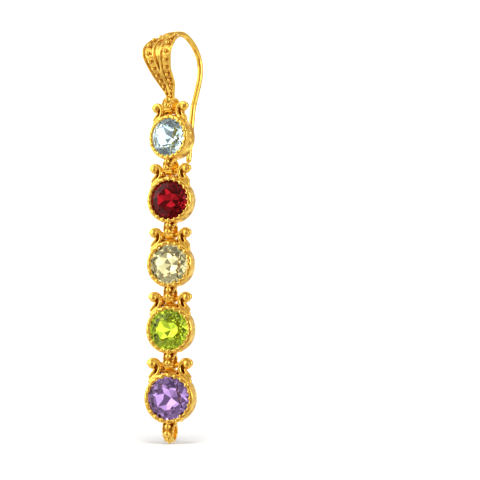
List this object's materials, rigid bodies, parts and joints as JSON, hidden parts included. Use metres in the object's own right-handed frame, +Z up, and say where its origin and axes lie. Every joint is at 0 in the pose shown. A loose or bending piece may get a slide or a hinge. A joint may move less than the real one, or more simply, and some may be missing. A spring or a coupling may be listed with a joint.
{
  "type": "drop earring",
  "caption": "Long drop earring: round cut stones in toothed collets, hinged one below the other, hang from a leaf-fronted shepherd's crook ear wire.",
  "frame": {"origin": "inside of the ear wire's arch, where it rests on the lower edge of the pierced ear lobe", "axes": "+Z up along the hanging line of the drops, -Y towards the front of the lower stones, +X to the wearer's left as seen from the front"},
  "size_m": [0.0077, 0.0111, 0.0616],
  "materials": {
    "gilt_metal": "polished",
    "pale_blue_stone": "polished",
    "dark_red_stone": "polished",
    "pale_yellow_stone": "polished",
    "green_stone": "polished",
    "violet_stone": "polished"
  },
  "bodies": {
    "ear_wire": {"ear_hook": "gilt_metal"},
    "drop_1": {"setting_1": "gilt_metal", "stone_1": "pale_blue_stone"},
    "drop_2": {"setting_2": "gilt_metal", "stone_2": "dark_red_stone"},
    "drop_3": {"setting_3": "gilt_metal", "stone_3": "pale_yellow_stone"},
    "drop_4": {"setting_4": "gilt_metal", "stone_4": "green_stone"},
    "drop_5": {"setting_5": "gilt_metal", "stone_5": "violet_stone"}
  },
  "joints": [
    {"name": "hinge_1", "type": "hinge", "parent": "ear_wire", "child": "drop_1", "pos_m": [-0.00102, -0.0024, -0.01123], "axis": [0.9613, -0.2756, 0], "range_deg": [-36, 15]},
    {"name": "hinge_2", "type": "hinge", "parent": "drop_1", "child": "drop_2", "pos_m": [-0.00102, -0.0024, -0.02047], "axis": [0.9986, -0.0523, 0], "range_deg": [-36, 45]},
    {"name": "hinge_3", "type": "hinge", "parent": "drop_2", "child": "drop_3", "pos_m": [-0.00102, -0.0024, -0.03004], "axis": [1, 0, 0], "range_deg": [-36, 45]},
    {"name": "hinge_4", "type": "hinge", "parent": "drop_3", "child": "drop_4", "pos_m": [-0.00102, -0.0024, -0.0396], "axis": [1, 0, 0], "range_deg": [-36, 45]},
    {"name": "hinge_5", "type": "hinge", "parent": "drop_4", "child": "drop_5", "pos_m": [-0.00102, -0.0024, -0.04939], "axis": [1, 0, 0], "range_deg": [-36, 45]}
  ]
}
